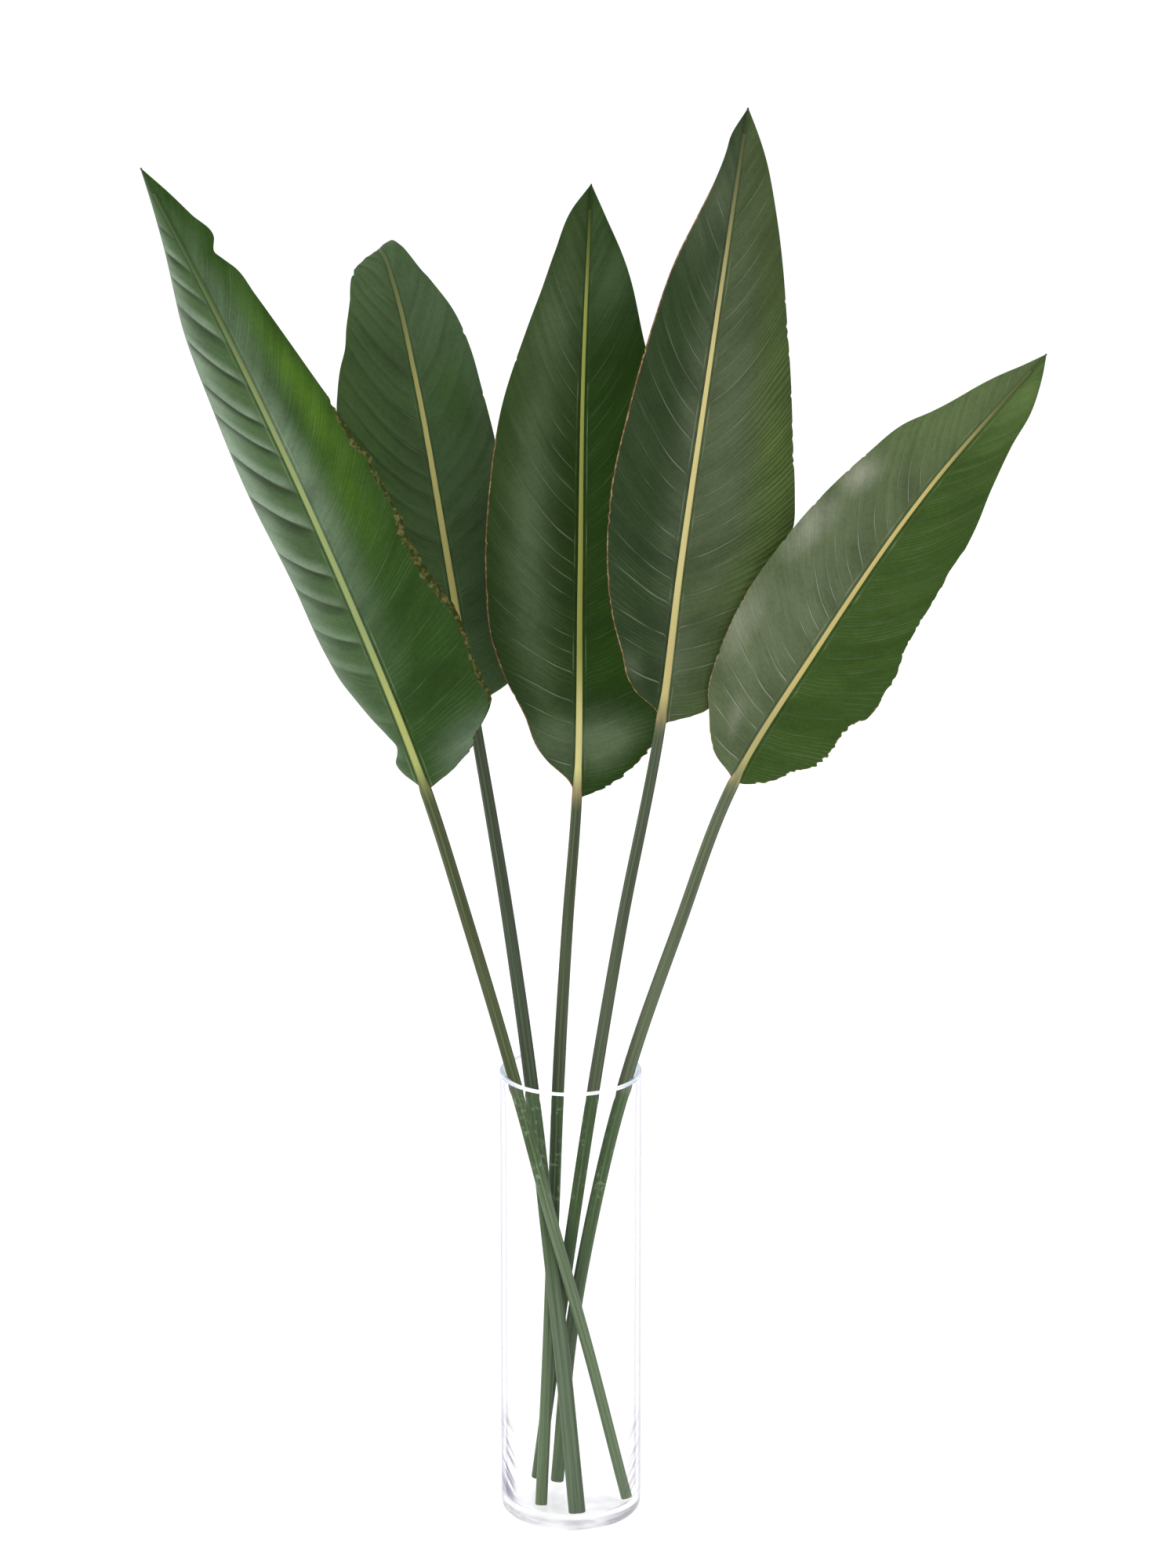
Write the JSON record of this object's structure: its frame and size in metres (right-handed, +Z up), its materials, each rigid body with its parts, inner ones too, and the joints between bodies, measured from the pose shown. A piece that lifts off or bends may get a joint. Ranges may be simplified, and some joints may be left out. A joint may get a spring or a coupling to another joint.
{
  "type": "bird of paradise leaves in glass vase",
  "caption": "Cut bird of paradise leaves on long stalks, fanned out in a clear glass cylinder vase.",
  "frame": {"origin": "centre of the vase's flat base, on the surface it stands on", "axes": "+Z up the vase; -Y is the side that the leaves face; +X is the viewer's right"},
  "size_m": [0.5471, 0.1962, 0.9321],
  "materials": {
    "vase_glass": "clear, polished",
    "leaf_far_left": "waxy satin leaf",
    "leaf_back_left": "waxy satin leaf",
    "leaf_centre": "waxy satin leaf",
    "leaf_tall_right": "waxy satin leaf",
    "leaf_far_right": "waxy satin leaf"
  },
  "bodies": {
    "root": {"glass_vase": "vase_glass", "leaf_far_left": "leaf_far_left", "leaf_back_left": "leaf_back_left", "leaf_centre": "leaf_centre", "leaf_tall_right": "leaf_tall_right", "leaf_far_right": "leaf_far_right"}
  },
  "joints": []
}
